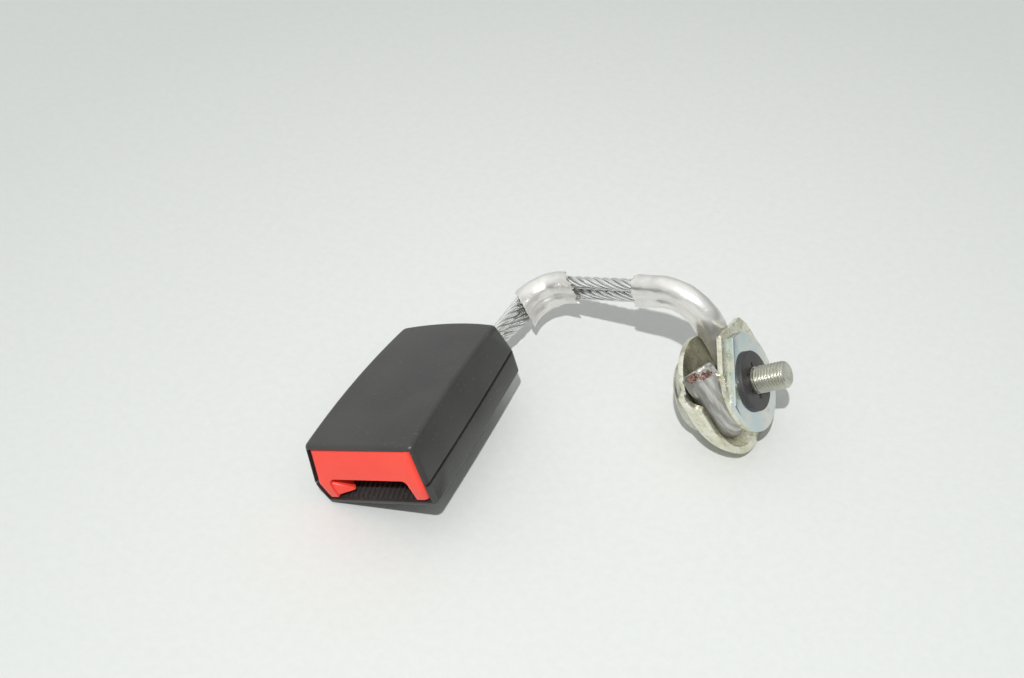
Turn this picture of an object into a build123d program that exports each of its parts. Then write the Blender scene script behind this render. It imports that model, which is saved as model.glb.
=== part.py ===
from build123d import *
from math import atan2, cos, radians, sin
import os

# Rear seat belt buckle on a twin wire rope stalk with its anchor bolt. Millimetres.
# The buckle has its own frame: X across, Y from the mouth to the rope, Z from the
# bottom to the top. The anchor has its own: Z along the bolt to its tip, Y up, X away.
# Both are placed in one frame with +Z up, in which the whole part lies on z = 0.

# ---- where the two ends lie
buckle_at = (-42.815, -58.018, 9.073)    # front bottom corner line of the housing, on its centre
buckle_roll = 23.2                   # the housing lies on its lower left edge
anchor_from_buckle = (86.57, 90.0, 8.548)
bolt_azimuth = 6.3
bolt_elevation = 31.7

# ---- housing, widths and ends at three levels
base_z, base_front, base_rear = 0.0, 47.4, 43.4
base_front_y, base_rear_y = -1.8, 71.8
seam_z, seam_front, seam_rear = 9.75, 50.1, 45.6
seam_front_y, seam_rear_y = -3.0, 71.9
top_z, top_front, top_rear = 25.1, 47.0, 41.3
top_front_y, top_rear_y = 0.0, 70.2
rear_top_z = 22.3
crown = 1.8                          # rise of the top over the line from front to rear
side_bow = 0.5
rear_bow = 2.7
front_corner = 2.4
rear_corner = 3.0
top_round = 2.0
base_round = 1.0
wall = 1.5
floor_wall = 1.8
seam_gap = 1.1
mouth_overrun = 8.0                  # how far a cut runs out of the open mouth
post_radius = 2.4
post_meet_z = 14.0
post_beside, post_rows, post_taper = 3.5, (46.0, 62.5), 1.2
exit_x, exit_y, exit_z = 8.0, 70.5, 8.4
exit_radius = 5.6
lip_start_y, lip_height, lip_wall, lip_gap = 42.0, 2.2, 1.0, 0.1

# ---- ribbed ramp in the mouth
ramp_half = 16.4
ramp_front_y, ramp_front_z = -1.4, 1.4
ramp_rear_y, ramp_rear_z = 10.7, 4.6
rib_count, rib_pitch, rib_width, rib_height = 13, 2.2, 0.8, 0.7

# ---- press button
button_gap = 0.45
button_travel = 5.0
bar_rear_y = 20.0
bar_low_z = 12.0
bar_lip = 1.6
leg_low_z = 3.2
leg_inner, leg_neck_y = 17.2, 12.0   # half of the opening, and where it narrows to clear the frame
leg_step_y = 5.5                     # the hollow behind the bar starts here
leg_beside = 0.7                     # between the frame and the legs of the button
leg_corner = 2.6
arm_low_z, arm_top_z, arm_wall = 9.5, 15.9, 2.9
button_shell = 2.0

# ---- frame
steel = 2.0
frame_z = 3.4                        # underside of the base plate
frame_half = 14.5
frame_front_y, frame_rear_y = 11.0, 63.5
cheek_front_y, cheek_before_saddle, cheek_top_z = 15.0, 7.5, 16.4
window_front_y, window_rear_y, window_half = 20.2, 25.0, 6.0
slot_rear_y, slot_half = 46.0, 2.9
rail_width = 2.5

# ---- latch
pin_y, pin_z, pin_radius = 46.0, 11.0, 1.5
running = 0.06                       # radial clearance of a running fit
barrel_radius = 2.7
latch_beside = 0.4                   # between the latch and a cheek of the frame
tooth_front_y, tooth_rear_y, tooth_low_z = 21.0, 24.0, 8.2
tooth_half = 5.5
latch_front_z = 12.0                 # underside of the plate over the tooth
shoulder_front_y, shoulder_rear_y, shoulder_top_z = 26.5, 31.2, 15.6
crank_top_z = 12.6                   # top of the plate behind the shoulder

# ---- ejector
ejector_front_y, ejector_rear_y = 23.0, 32.5
ejector_half, ejector_top_z = 5.2, 7.4
keel_front_y, keel_half, keel_low_z = 25.6, 2.6, 3.7
moving_gap = 0.3

# ---- lock slider and spring bridge
slider_front_y, slider_rear_y = 32.0, 36.0
slider_low_z, slider_top_z, slider_reach = 13.0, 15.4, 3.3
bridge_front_y, bridge_rear_y, bridge_steel = 30.0, 46.0, 1.6
bridge_front_top, bridge_rear_low = 22.4, 13.9
tab_length, rivet_radius, rivet_head = 4.0, 1.1, 0.9

# ---- springs, drawn as their closed outer turns
button_spring_x, button_spring_z, button_spring_radius, button_wire = 8.6, 18.1, 2.1, 0.6
slider_spring_z, slider_spring_radius, slider_wire = 15.0, 1.0, 0.35
latch_spring_x, latch_spring_y, latch_spring_radius, latch_wire = 7.0, 42.35, 1.0, 0.35
ejector_spring_z, ejector_spring_radius, ejector_wire = 5.0, 1.5, 0.5

# ---- pad under the frame
pad_y, pad_width, pad_length = 54.5, 20.0, 12.0

# ---- rope and its saddle
rope_radius = 2.5
rope_half_gap = 2.6                  # from the centre of the pair to each run
saddle_x, saddle_y, saddle_z = 6.0, 59.5, 8.8
saddle_bend, saddle_core_cut = 6.0, -0.7
saddle_flange, saddle_flange_wall, flange_cut = 8.4, 0.8, 2.5
saddle_pin_radius, saddle_pin_head = 2.0, 3.6
exit_twist = 45.0                    # how far the pair has turned where it leaves
twist_end = (9.9, 97.0, 5.8)
elbow_corner = (10.9, 117.6, 4.6)
elbow_radius = 11.6
elbow_before, elbow_after = 14.6, 16.2
bend_height = 35.6                   # corner of the upper bend over the bolt axis
bend_radius = 14.0
sleeve_before_bend = 25.3
twist_top, twist_low = 21.0, 15.2    # stretch of the leg where the pair turns to the bolt
hook_end = 16.0
hook_slack = 0.15                    # straight left between two quarter turns
exit_bend, twist_bend, saddle_leg_bend = 9.0, 30.0, 8.0
lobe_radius, lobe_half_gap, waist_half = 4.15, 2.6, 3.5
hook_width, hook_depth, hook_corner = 12.4, 9.6, 2.6
leg_lobe, leg_waist = 4.4, 4.0       # where the leg meets the square hook

# ---- anchor
bolt_radius = 5.0
shoulder_radius, relief_radius, thread_gap = 5.5, 4.5, 0.3
bolt_tip_over_stack = 12.7
head_radius, head_height, head_gap = 14.2, 8.0, 0.1
head_edge, head_side, head_round, head_low, bolt_chamfer = 1.2, 4.2, 2.8, 7.0, 0.9
socket_across, socket_depth = 8.0, 4.5
bush_radius = 6.8
cup_steel = 2.0
cup_levels = [(0.0, 0.0, 0.0, 13.0), (4.0, 3.2, 1.2, 11.5), (9.0, 4.6, 2.2, 9.5)]
plate_steel, plate_radius = 2.0, 17.8
plate_far, plate_far_half = 20.4, 8.0
plate_lug = [(0, 0), (20.4, 6.0), (20.0, 11.5), (17.9, 16.2), (0.5, 22.0), (-12.8, 13.7)]
lug_corner = 1.5
spacer_radius, spacer_thick = 18.3, 1.8
spacer_flat, spacer_flat_angle = 13.0, 122.0
plate_gap = 0.35
retainer_radius, retainer_thick = 11.1, 1.6
retainer_notches, notch_reach, notch_width = 6, 6.7, 1.5
stack_gap = 0.1

# ---- values worked out from those above
leg_inner_rear = frame_half + leg_beside
latch_half = frame_half - steel - latch_beside
slider_half = frame_half + slider_reach
cheek_rear_y = saddle_y - cheek_before_saddle
post_places = [
    (side * (frame_half + post_beside - post_taper * row), post_y)
    for row, post_y in enumerate(post_rows) for side in (-1, 1)
]
buckle_plane = Plane(
    origin=buckle_at,
    x_dir=(cos(radians(buckle_roll)), 0, sin(radians(buckle_roll))),
    z_dir=(-sin(radians(buckle_roll)), 0, cos(radians(buckle_roll))),
)
bolt_axis = Vector(
    cos(radians(bolt_elevation)) * cos(radians(bolt_azimuth)),
    cos(radians(bolt_elevation)) * sin(radians(bolt_azimuth)),
    sin(radians(bolt_elevation)),
)
anchor_away = Vector(-sin(radians(bolt_azimuth)), cos(radians(bolt_azimuth)), 0)
anchor_at = Vector(*buckle_at) + Vector(*anchor_from_buckle)
anchor_plane = Plane(origin=anchor_at, x_dir=anchor_away, z_dir=bolt_axis)
plate_top_z = frame_z + steel
frame_middle_y = (frame_front_y + frame_rear_y) / 2
hook_radius = bush_radius + hook_depth / 2 + stack_gap
hook_z = cup_steel + stack_gap + hook_width / 2
front_plate_z = cup_steel + hook_width + 2 * stack_gap + plate_gap
spacer_z = front_plate_z + plate_steel
retainer_z = spacer_z + spacer_thick
bolt_tip_z = retainer_z + retainer_thick + bolt_tip_over_stack
thread_low_z = retainer_z + retainer_thick + thread_gap
cup_inner = hook_radius + hook_depth / 2 + 2 * stack_gap
bridge_z = cheek_top_z

os.makedirs("parts", exist_ok=True)


def save(piece, label, plane=Plane.XY):
    """Write one finished piece, moved from its own frame to the shared one."""
    piece.part.label = label
    placed = piece.part.moved(plane.location)
    placed.label = label
    export_step(placed, f"parts/{label}.step")


def between(low, high, share):
    return low + (high - low) * share


def housing_section(z, inset=0.0, front_run=0.0):
    """Outline of the housing at height z, drawn in by inset, run out of the mouth."""
    if z < seam_z:
        share = (z - base_z) / (seam_z - base_z)
        front = between(base_front, seam_front, share)
        rear = between(base_rear, seam_rear, share)
        front_y = between(base_front_y, seam_front_y, share)
        rear_y = between(base_rear_y, seam_rear_y, share)
    else:
        share = (z - seam_z) / (top_z - seam_z)
        front = between(seam_front, top_front, share)
        rear = between(seam_rear, top_rear, share)
        front_y = between(seam_front_y, top_front_y, share)
        rear_y = between(seam_rear_y, top_rear_y, share)
    lean = (front - rear) / 2 / (rear_y - front_y)
    front_half = front / 2 - inset + lean * front_run
    rear_half = rear / 2 - inset
    front_y = front_y - front_run
    rear_y = rear_y - inset
    middle = (front_half + rear_half) / 2 + side_bow
    middle_y = (front_y + rear_y) / 2
    with BuildSketch(Plane.XY.offset(z)) as section:
        with BuildLine():
            Line((-front_half, front_y), (front_half, front_y))
            ThreePointArc((front_half, front_y), (middle, middle_y), (rear_half, rear_y))
            ThreePointArc((rear_half, rear_y), (0, rear_y + rear_bow), (-rear_half, rear_y))
            ThreePointArc((-rear_half, rear_y), (-middle, middle_y), (-front_half, front_y))
        make_face()
        fillet(section.vertices().group_by(Axis.Y)[0], front_corner)
        fillet(section.vertices().group_by(Axis.Y)[-1], rear_corner - inset / 2)
    return section.sketch


def under_crown(lowered=0.0):
    """Side profile below the crowned top, lowered for an inner face."""
    run = mouth_overrun * 2
    slope = (top_z - rear_top_z) / top_rear_y
    middle_y = top_rear_y / 2
    with BuildSketch(Plane.YZ) as side:
        with BuildLine():
            front = (-run, top_z + slope * run - lowered - crown)
            high = (middle_y, (top_z + rear_top_z) / 2 + crown - lowered)
            rear = (top_rear_y + run, rear_top_z - slope * run - lowered - crown)
            ThreePointArc(front, high, rear)
            Line(rear, (top_rear_y + run, -run))
            Line((top_rear_y + run, -run), (-run, -run))
            Line((-run, -run), front)
        make_face()
    return side.sketch


# ---- spaces inside the two shells, open at the mouth
with BuildPart() as upper_space:
    loft([housing_section(z, wall, mouth_overrun) for z in (seam_z, top_z + crown)])
    extrude(under_crown(wall), amount=seam_front, both=True, mode=Mode.INTERSECT)

with BuildPart() as lower_space:
    loft([housing_section(z, wall, mouth_overrun) for z in (floor_wall, seam_z)])

# ---- upper cover
with BuildPart() as upper_cover:
    loft([housing_section(z) for z in (seam_z + seam_gap / 2, top_z + crown)])
    extrude(under_crown(), amount=seam_front, both=True, mode=Mode.INTERSECT)
    top_face = upper_cover.faces().sort_by(Axis.Z)[-1]
    fillet(top_face.edges(), top_round)
    add(upper_space.part, mode=Mode.SUBTRACT)
    with BuildSketch(Plane.XY.offset(post_meet_z)):
        with Locations(*post_places):
            Circle(post_radius)
    extrude(until=Until.NEXT)
    with BuildSketch(Plane.XZ.offset(-exit_y + rear_corner * 2)):
        with Locations((exit_x, exit_z)):
            Circle(exit_radius)
    extrude(amount=-rear_corner * 5, mode=Mode.SUBTRACT)
save(upper_cover, "upper_cover", buckle_plane)

# ---- lower cover, with its ramp, frame rails, posts and the lip behind the seam
ramp_angle = atan2(ramp_rear_z - ramp_front_z, ramp_rear_y - ramp_front_y)
ramp_length = (ramp_rear_y - ramp_front_y) / cos(ramp_angle)
ramp_plane = Plane(
    origin=(0, ramp_front_y, ramp_front_z),
    x_dir=(1, 0, 0),
    z_dir=(0, -sin(ramp_angle), cos(ramp_angle)),
)
lip_levels = (seam_z - 2 * seam_gap, seam_z - seam_gap / 2, seam_z + lip_height)
with BuildPart() as lip_space:
    for levels in (lip_levels[:2], lip_levels[1:]):
        loft([housing_section(z, wall + lip_gap + lip_wall, mouth_overrun) for z in levels])

with BuildPart() as lip:
    loft([housing_section(z, wall - lip_gap) for z in lip_levels[:2]])
    loft([housing_section(z, wall + lip_gap) for z in lip_levels[1:]])
    add(lip_space.part, mode=Mode.SUBTRACT)
    with Locations((0, lip_start_y, 0)):
        Box(
            seam_front, seam_rear_y, top_z,
            align=(Align.CENTER, Align.MIN, Align.CENTER), mode=Mode.INTERSECT,
        )

with BuildPart() as lower_cover:
    loft([housing_section(z) for z in (base_z, seam_z - seam_gap / 2)])
    fillet(lower_cover.faces().sort_by(Axis.Z)[0].edges(), base_round)
    add(lower_space.part, mode=Mode.SUBTRACT)
    add(lip.part)
    with BuildSketch(Plane.YZ.offset(-ramp_half)) as ramp_side:
        with BuildLine():
            Polyline(
                (ramp_front_y, base_round), (ramp_front_y, ramp_front_z),
                (ramp_rear_y, ramp_rear_z), (ramp_rear_y, base_round), close=True,
            )
        make_face()
    extrude(amount=2 * ramp_half)
    with BuildSketch(ramp_plane) as ribs:
        with Locations((0, ramp_length / 2)):
            with GridLocations(rib_pitch, 1, rib_count, 1):
                Rectangle(rib_width, ramp_length - 2 * rib_width)
    extrude(amount=rib_height)
    with BuildSketch(Plane.XY.offset(floor_wall)) as rails:
        for side in (-1, 1):
            with Locations((side * (frame_half - rail_width / 2), frame_middle_y)):
                Rectangle(rail_width, frame_rear_y - frame_front_y)
    extrude(amount=frame_z - floor_wall)
    with BuildSketch(Plane.XY.offset(floor_wall)) as posts:
        with Locations(*post_places):
            Circle(post_radius)
    extrude(amount=post_meet_z - floor_wall)
    with BuildSketch(Plane.XZ.offset(-exit_y + rear_corner * 2)) as rope_hole:
        with Locations((exit_x, exit_z)):
            Circle(exit_radius)
    extrude(amount=-rear_corner * 5, mode=Mode.SUBTRACT)
save(lower_cover, "lower_cover", buckle_plane)

# ---- press button: a shell whose face is an arch, with two legs and two arms
button_inset = wall + button_gap
with BuildPart() as press_button:
    loft([housing_section(z, button_inset) for z in (seam_z, top_z + crown)])
    loft([housing_section(z, button_inset) for z in (leg_low_z, seam_z)])
    extrude(under_crown(button_inset), amount=seam_front, both=True, mode=Mode.INTERSECT)
    with Locations((0, bar_rear_y, 0)):
        Box(
            seam_front, seam_rear_y * 2, top_z * 3,
            align=(Align.CENTER, Align.MIN, Align.CENTER), mode=Mode.SUBTRACT,
        )
    with BuildSketch(Plane.XZ.offset(mouth_overrun)) as arch:
        with BuildLine():
            Polyline(
                (-leg_inner, -1), (-leg_inner, bar_low_z), (leg_inner, bar_low_z),
                (leg_inner, -1), close=True,
            )
        make_face()
        fillet(arch.vertices().group_by(Axis.Y)[-1], leg_corner)
    extrude(amount=-(mouth_overrun + leg_neck_y), mode=Mode.SUBTRACT)
    with BuildSketch(Plane.XZ.offset(-leg_step_y)) as rear_arch:
        with Locations((0, bar_low_z / 2)):
            Rectangle(2 * leg_inner_rear, bar_low_z)
    extrude(amount=-bar_rear_y, mode=Mode.SUBTRACT)
    with BuildSketch(Plane.XZ.offset(-button_shell * 2)) as hollow:
        with Locations((0, bar_low_z + button_shell)):
            Rectangle(
                2 * leg_inner_rear, rear_top_z - bar_low_z - 2 * button_shell,
                align=(Align.CENTER, Align.MIN),
            )
    extrude(amount=-bar_rear_y, mode=Mode.SUBTRACT)
    with BuildSketch(Plane.XZ.offset(-leg_step_y)) as open_underside:
        with Locations((0, bar_low_z)):
            Rectangle(2 * leg_inner_rear, 2 * button_shell)
    extrude(amount=-bar_rear_y, mode=Mode.SUBTRACT)
    with BuildSketch(Plane.XZ.offset(-bar_rear_y + button_shell)) as arms:
        for side in (-1, 1):
            with Locations((side * (leg_inner_rear + arm_wall / 2), (arm_low_z + arm_top_z) / 2)):
                Rectangle(arm_wall, arm_top_z - arm_low_z)
    extrude(amount=-(slider_front_y - bar_rear_y + button_shell - moving_gap))
    lip_edges = press_button.edges().filter_by(Axis.X).group_by(Axis.Y)[0]
    fillet(lip_edges.sort_by(Axis.Z)[0], bar_lip)
save(press_button, "press_button", buckle_plane)

# ---- frame: a folded steel channel with its window, ejector slot and slider slots
with BuildPart() as frame:
    with BuildSketch(Plane.XY.offset(frame_z)) as base_plate:
        with Locations((0, frame_middle_y)):
            Rectangle(2 * frame_half, frame_rear_y - frame_front_y)
        fillet(base_plate.vertices(), 2 * steel)
    extrude(amount=steel)
    with BuildSketch(Plane.YZ.offset(frame_half)) as cheek:
        with BuildLine():
            Polyline(
                (cheek_front_y, frame_z), (cheek_front_y, cheek_top_z - steel * 2),
                (cheek_front_y + steel * 2, cheek_top_z), (cheek_rear_y, cheek_top_z),
                (cheek_rear_y, frame_z), close=True,
            )
        make_face()
        fillet(cheek.vertices().group_by(Axis.Y)[-1].sort_by(Axis.Z)[-1], 2 * steel)
    extrude(amount=-steel)
    mirror(about=Plane.YZ)
    with BuildSketch(Plane.XY.offset(frame_z)) as window:
        with Locations((0, (window_front_y + window_rear_y) / 2)):
            Rectangle(2 * window_half, window_rear_y - window_front_y)
        with Locations((0, (window_rear_y + slot_rear_y) / 2)):
            Rectangle(2 * slot_half, slot_rear_y - window_rear_y)
        with Locations((saddle_x, saddle_y)):
            Circle(saddle_pin_radius)
    extrude(amount=steel, mode=Mode.SUBTRACT)
    with BuildSketch(Plane.YZ.offset(-frame_half)) as cheek_holes:
        with Locations((pin_y, pin_z)):
            Circle(pin_radius)
        with Locations((
            (slider_front_y + slider_rear_y + button_travel) / 2,
            (slider_low_z + slider_top_z) / 2,
        )):
            Rectangle(
                slider_rear_y - slider_front_y + button_travel + 2 * moving_gap,
                slider_top_z - slider_low_z + 2 * moving_gap,
            )
    extrude(amount=2 * frame_half, mode=Mode.SUBTRACT)
save(frame, "frame", buckle_plane)

# ---- latch: a cranked plate on a rolled barrel, with its tooth and lock shoulder
with BuildPart() as latch:
    with BuildSketch(Plane.YZ.offset(-latch_half)) as latch_side:
        with BuildLine():
            Polyline(
                (tooth_front_y, latch_front_z), (tooth_front_y, latch_front_z + steel),
                (shoulder_front_y, latch_front_z + steel),
                (shoulder_front_y, shoulder_top_z), (shoulder_rear_y, shoulder_top_z),
                (shoulder_rear_y, crank_top_z), (pin_y - steel, crank_top_z), (pin_y, pin_z),
                (pin_y - barrel_radius, pin_z - steel / 2),
                (shoulder_rear_y, crank_top_z - steel), close=True,
            )
        make_face()
        with Locations((pin_y, pin_z)):
            Circle(barrel_radius)
            Circle(pin_radius + running, mode=Mode.SUBTRACT)
    extrude(amount=2 * latch_half)
    with BuildSketch(Plane.YZ.offset(-tooth_half)) as tooth:
        with BuildLine():
            Polyline(
                (tooth_front_y, latch_front_z + steel / 2), (tooth_front_y, tooth_low_z + 1),
                (tooth_front_y + 1, tooth_low_z), (tooth_rear_y, tooth_low_z),
                (tooth_rear_y, latch_front_z + steel / 2), close=True,
            )
        make_face()
    extrude(amount=2 * tooth_half)
    with BuildSketch(Plane.XY.offset(tooth_low_z)) as side_reliefs:
        for side in (-1, 1):
            with Locations((side * latch_half, shoulder_front_y)):
                Rectangle(latch_half, shoulder_rear_y - shoulder_front_y + 2 * steel)
    extrude(amount=shoulder_top_z, mode=Mode.SUBTRACT)
save(latch, "latch", buckle_plane)

with BuildPart() as latch_pin:
    with BuildSketch(Plane.YZ.offset(-frame_half - rivet_head)) as pin_end:
        with Locations((pin_y, pin_z)):
            Circle(pin_radius + rivet_head)
    extrude(amount=rivet_head)
    with BuildSketch(Plane.YZ.offset(-frame_half)) as pin_shank:
        with Locations((pin_y, pin_z)):
            Circle(pin_radius)
    extrude(amount=2 * frame_half + rivet_head)
save(latch_pin, "latch_pin", buckle_plane)

# ---- ejector: a slide on the base plate with a keel in its slot
with BuildPart() as ejector:
    with BuildSketch(Plane.YZ.offset(-ejector_half)) as ejector_side:
        with BuildLine():
            Polyline(
                (ejector_front_y, plate_top_z), (ejector_front_y, ejector_top_z - 1),
                (ejector_front_y + 1, ejector_top_z), (ejector_rear_y, ejector_top_z),
                (ejector_rear_y, plate_top_z), close=True,
            )
        make_face()
    extrude(amount=2 * ejector_half)
    with BuildSketch(Plane.XY.offset(keel_low_z)) as keel:
        with Locations((0, (keel_front_y + ejector_rear_y) / 2)):
            Rectangle(2 * keel_half, ejector_rear_y - keel_front_y)
    extrude(amount=plate_top_z - keel_low_z)
save(ejector, "ejector", buckle_plane)

# ---- lock slider: a flat bar through the slots of both cheeks
with BuildPart() as lock_slider:
    with BuildSketch(Plane.XY.offset(slider_low_z)) as bar:
        with Locations((0, (slider_front_y + slider_rear_y) / 2)):
            Rectangle(2 * slider_half, slider_rear_y - slider_front_y)
        fillet(bar.vertices(), steel / 2)
    extrude(amount=slider_top_z - slider_low_z)
save(lock_slider, "lock_slider", buckle_plane)

# ---- spring bridge: a plate riveted across the cheeks, with two bent ends
with BuildPart() as spring_bridge:
    with BuildSketch(Plane.YZ.offset(-frame_half)) as bridge_side:
        with BuildLine():
            Polyline(
                (bridge_front_y, bridge_z), (bridge_front_y, bridge_front_top),
                (bridge_front_y + bridge_steel, bridge_front_top),
                (bridge_front_y + bridge_steel, bridge_z + bridge_steel),
                (bridge_rear_y + bridge_steel, bridge_z + bridge_steel),
                (bridge_rear_y + bridge_steel, bridge_rear_low),
                (bridge_rear_y, bridge_rear_low), (bridge_rear_y, bridge_z), close=True,
            )
        make_face()
    extrude(amount=2 * frame_half)
    with BuildSketch(Plane.XZ.offset(-bridge_rear_y)) as rear_trim:
        for side in (-1, 1):
            with Locations((side * frame_half, bridge_rear_low)):
                Rectangle(2 * (frame_half - 2 * tab_length), 2 * (bridge_z - bridge_rear_low))
    extrude(amount=-bridge_steel, mode=Mode.SUBTRACT)
save(spring_bridge, "spring_bridge", buckle_plane)

with BuildPart() as frame_rivets:
    with BuildSketch(Plane.XY.offset(bridge_z + bridge_steel)) as rivet_heads:
        for side in (-1, 1):
            for rivet_y in (bridge_front_y + tab_length, bridge_rear_y - tab_length / 2):
                with Locations((side * (frame_half - steel / 2), rivet_y)):
                    Circle(rivet_radius)
    extrude(amount=rivet_head)
save(frame_rivets, "frame_rivets", buckle_plane)


def tube_spring(plane, centres, radius, wire, length):
    """Closed envelope of one or more coil springs, standing on a plane."""
    with BuildPart() as spring:
        with BuildSketch(plane):
            with Locations(*centres):
                Circle(radius)
                Circle(radius - wire, mode=Mode.SUBTRACT)
        extrude(amount=length)
    return spring


button_springs = tube_spring(
    Plane.XZ.offset(-button_shell * 2),
    [(-button_spring_x, button_spring_z), (button_spring_x, button_spring_z)],
    button_spring_radius, button_wire, -(bridge_front_y - button_shell * 2),
)
save(button_springs, "button_springs", buckle_plane)

slider_spring = tube_spring(
    Plane.XZ.offset(-slider_rear_y), [(0, slider_spring_z)],
    slider_spring_radius, slider_wire, -(bridge_rear_y - slider_rear_y),
)
save(slider_spring, "slider_spring", buckle_plane)

latch_spring = tube_spring(
    Plane.XY.offset(crank_top_z), [(-latch_spring_x, latch_spring_y), (latch_spring_x, latch_spring_y)],
    latch_spring_radius, latch_wire, bridge_z - crank_top_z,
)
save(latch_spring, "latch_spring", buckle_plane)

ejector_spring = tube_spring(
    Plane.XZ.offset(-ejector_rear_y), [(0, ejector_spring_z)],
    ejector_spring_radius, ejector_wire, -(slot_rear_y - ejector_rear_y),
)
save(ejector_spring, "ejector_spring", buckle_plane)

# ---- saddle with its pin, and the pad under the frame
saddle_height = 2 * (saddle_z - plate_top_z)
with BuildPart() as cable_saddle:
    with BuildSketch(Plane.XY.offset(plate_top_z)) as flange:
        with Locations((saddle_x, saddle_y)):
            Circle(saddle_flange)
        with Locations((saddle_x, saddle_y + saddle_flange - flange_cut)):
            Rectangle(2 * saddle_flange, 2 * saddle_flange, mode=Mode.SUBTRACT)
    extrude(amount=saddle_height)
    with BuildSketch(Plane.XY.offset(plate_top_z + saddle_flange_wall)):
        with Locations((saddle_x, saddle_y)):
            Circle(saddle_flange)
    extrude(amount=saddle_height - 2 * saddle_flange_wall, mode=Mode.SUBTRACT)
    with BuildSketch(Plane.XY.offset(plate_top_z)):
        with Locations((saddle_x, saddle_y)):
            Circle(saddle_bend - rope_radius - stack_gap)
        with Locations((saddle_x, saddle_y + saddle_core_cut + saddle_bend)):
            Rectangle(2 * saddle_bend, 2 * saddle_bend, mode=Mode.SUBTRACT)
    extrude(amount=saddle_height)
    with BuildSketch(Plane.XY.offset(plate_top_z)):
        with Locations((saddle_x, saddle_y)):
            Circle(saddle_pin_radius)
    extrude(amount=saddle_height, mode=Mode.SUBTRACT)
save(cable_saddle, "cable_saddle", buckle_plane)

with BuildPart() as saddle_pin:
    with BuildSketch(Plane.XY.offset(frame_z)):
        with Locations((saddle_x, saddle_y)):
            Circle(saddle_pin_radius)
    extrude(amount=saddle_height + steel)
    with BuildSketch(Plane.XY.offset(plate_top_z + saddle_height)):
        with Locations((saddle_x, saddle_y)):
            Circle(saddle_pin_head)
    extrude(amount=rivet_head)
save(saddle_pin, "saddle_pin", buckle_plane)

with BuildPart() as rattle_pad:
    with BuildSketch(Plane.XY.offset(floor_wall)) as pad:
        with Locations((0, pad_y)):
            Rectangle(pad_width, pad_length)
        fillet(pad.vertices(), steel)
    extrude(amount=frame_z - floor_wall)
save(rattle_pad, "rattle_pad", buckle_plane)

# ---- anchor, about the bolt axis
with BuildPart() as anchor_bolt:
    with BuildSketch(Plane.XZ) as bolt_half:
        with BuildLine():
            Line((0, bolt_tip_z), (bolt_radius - bolt_chamfer, bolt_tip_z))
            Line((bolt_radius - bolt_chamfer, bolt_tip_z), (bolt_radius, bolt_tip_z - bolt_chamfer))
            Line((bolt_radius, bolt_tip_z - bolt_chamfer), (bolt_radius, thread_low_z))
            Line((bolt_radius, thread_low_z), (relief_radius, thread_low_z))
            Line((relief_radius, thread_low_z), (relief_radius, retainer_z))
            Line((relief_radius, retainer_z), (shoulder_radius, retainer_z))
            Line((shoulder_radius, retainer_z), (shoulder_radius, -head_gap))
            Line((shoulder_radius, -head_gap), (head_radius - head_edge, -head_gap))
            RadiusArc(
                (head_radius - head_edge, -head_gap), (head_radius, -head_gap - head_edge), head_edge
            )
            Line((head_radius, -head_gap - head_edge), (head_radius, -head_side))
            RadiusArc((head_radius, -head_side), (head_radius - head_round, -head_low), head_round)
            ThreePointArc(
                (head_radius - head_round, -head_low),
                (head_radius / 2, -(3 * head_height + head_low) / 4), (0, -head_height),
            )
            Line((0, -head_height), (0, bolt_tip_z))
        make_face()
    revolve(axis=Axis.Z)
    with BuildSketch(Plane.XY.offset(-2 * head_height)):
        RegularPolygon(socket_across / 2, 6, major_radius=False)
    extrude(amount=head_height + socket_depth, mode=Mode.SUBTRACT)
save(anchor_bolt, "anchor_bolt", anchor_plane)


def ring(low, thick, outer, inner):
    with BuildPart() as piece:
        with BuildSketch(Plane.XY.offset(low)):
            Circle(outer)
            Circle(inner, mode=Mode.SUBTRACT)
        extrude(amount=thick)
    return piece


spacer_bush = ring(cup_steel, front_plate_z - cup_steel, bush_radius, shoulder_radius + running)
save(spacer_bush, "spacer_bush", anchor_plane)


def cup_outline(z, radius, drop, leg_top):
    """U outline of the cup: a half round below, straight legs above."""
    with BuildSketch(Plane.XY.offset(z)) as outline:
        with BuildLine():
            Line((-radius, leg_top), (-radius, -drop))
            ThreePointArc((-radius, -drop), (0, -drop - radius), (radius, -drop))
            Line((radius, -drop), (radius, leg_top))
            Line((radius, leg_top), (-radius, leg_top))
        make_face()
    return outline.sketch


cup_outer = cup_inner + cup_steel
with BuildPart() as anchor_cup:
    loft([
        cup_outline(z, cup_outer + growth, drop, leg_top)
        for z, growth, drop, leg_top in cup_levels
    ])
    fillet(anchor_cup.faces().sort_by(Axis.Z)[0].edges().sort_by(SortBy.LENGTH)[-1], cup_steel)
    loft(
        [
            cup_outline(z + cup_steel, cup_inner + growth, drop, leg_top + cup_outer)
            for z, growth, drop, leg_top in cup_levels
        ],
        mode=Mode.SUBTRACT,
    )
    with BuildSketch(Plane.XY) as back_top:
        with Locations((0, cup_steel)):
            Circle(cup_outer)
        with Locations((0, -cup_outer)):
            Rectangle(2 * cup_outer, 2 * cup_outer, mode=Mode.SUBTRACT)
    extrude(amount=cup_steel)
    with Locations((0, 0, 0)):
        Cylinder(shoulder_radius + running, 4 * cup_steel, mode=Mode.SUBTRACT)
save(anchor_cup, "anchor_cup", anchor_plane)

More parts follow.
